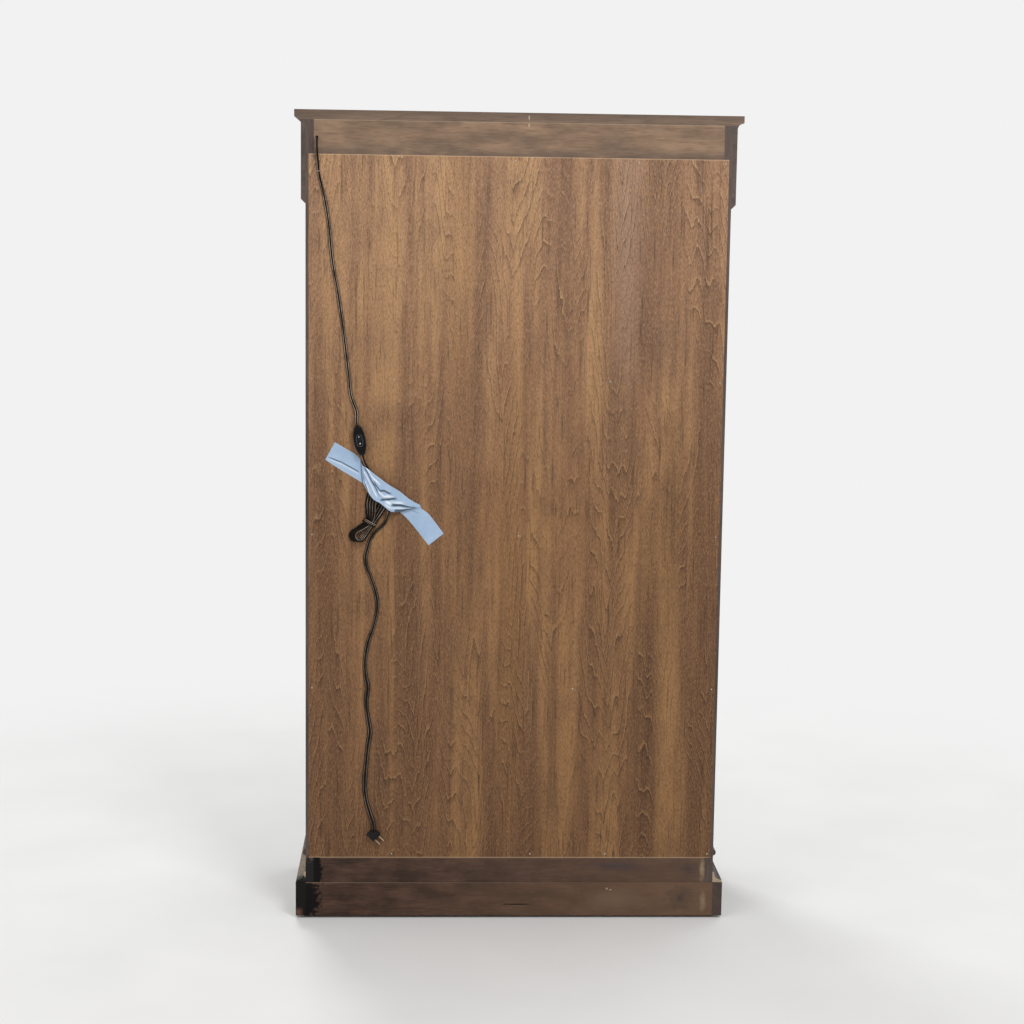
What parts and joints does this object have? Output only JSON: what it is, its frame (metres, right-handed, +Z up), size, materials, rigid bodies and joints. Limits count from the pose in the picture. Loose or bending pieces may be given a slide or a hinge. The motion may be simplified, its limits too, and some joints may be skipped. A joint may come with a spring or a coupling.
{
  "type": "display cabinet",
  "caption": "Tall lighted display cabinet with glazed doors, glass shelves, a crown and plinth, a plywood back and a taped hank of lamp cord.",
  "frame": {"origin": "on the floor under the middle of the cabinet's width and of its whole depth", "axes": "+Z up; the doors face -Y and the plywood back faces +Y; +X is the right-hand side seen from the doors"},
  "size_m": [1.026, 0.4277, 1.9],
  "materials": {
    "stained_wood": "satin",
    "dark_wood": "satin",
    "plywood": "satin",
    "inner_wood": "satin",
    "clear_glass": "gloss",
    "aged_brass": "satin",
    "bright_steel": "satin",
    "white_nylon": "matte",
    "white_plastic": "matte",
    "frosted_glass": "matte",
    "black_plastic": "gloss",
    "brown_cord": "satin",
    "blue_tape": "matte"
  },
  "bodies": {
    "case": {"crown_cap": "stained_wood", "crown_moulding": "stained_wood", "frieze_front": "stained_wood", "frieze_left": "stained_wood", "frieze_right": "stained_wood", "side_left": "stained_wood", "side_right": "stained_wood", "back_panel": "plywood", "back_top_rail": "stained_wood", "back_bottom_rail": "dark_wood", "ceiling_board": "inner_wood", "bottom_board": "inner_wood", "shelf_upper_frame": "stained_wood", "shelf_middle_frame": "stained_wood", "shelf_lower_frame": "stained_wood", "shelf_glass": "clear_glass", "face_stile_left": "stained_wood", "face_stile_right": "stained_wood", "face_top_rail": "stained_wood", "face_bottom_rail": "stained_wood", "plinth_front": "dark_wood", "plinth_left": "dark_wood", "plinth_right": "dark_wood", "plinth_back": "dark_wood", "base_moulding": "dark_wood", "base_bead": "dark_wood", "corner_blocks": "inner_wood", "glides": "white_nylon", "panel_nails": "bright_steel", "lamp_cans": "bright_steel", "lamp_bulbs": "frosted_glass", "lamp_lenses": "frosted_glass", "junction_box": "white_plastic", "lamp_lead": "brown_cord", "frame_hinge_leaves": "aged_brass", "hinge_pins": "aged_brass", "door_catches": "black_plastic", "cord_upper": "brown_cord", "cord_hank": "brown_cord", "cord_lower": "brown_cord", "cord_ties": "brown_cord", "switch_body": "black_plastic", "plug_body": "black_plastic", "plug_blades": "aged_brass", "tape": "blue_tape"},
    "door_left": {"door_left_stiles": "stained_wood", "door_left_rails": "stained_wood", "door_left_glass": "clear_glass", "door_left_stops": "stained_wood", "door_left_knob": "aged_brass", "door_left_hinge_leaves": "aged_brass", "door_left_strike": "bright_steel"},
    "door_right": {"door_right_stiles": "stained_wood", "door_right_rails": "stained_wood", "door_right_glass": "clear_glass", "door_right_stops": "stained_wood", "door_right_knob": "aged_brass", "door_right_hinge_leaves": "aged_brass", "door_right_strike": "bright_steel"},
    "rocker": {"switch_rocker": "black_plastic"}
  },
  "joints": [
    {"name": "door_left_hinge", "type": "hinge", "parent": "case", "child": "door_left", "pos_m": [-0.448, -0.18235, 0.931], "axis": [0, 0, -1], "range_deg": [0, 110]},
    {"name": "door_right_hinge", "type": "hinge", "parent": "case", "child": "door_right", "pos_m": [0.448, -0.18235, 0.931], "axis": [0, 0, 1], "range_deg": [0, 110]},
    {"name": "switch_rocker_pivot", "type": "hinge", "parent": "case", "child": "rocker", "pos_m": [0.362, 0.21785, 1.149], "axis": [0.9848, 0, -0.1736], "range_deg": [0, 14]}
  ]
}
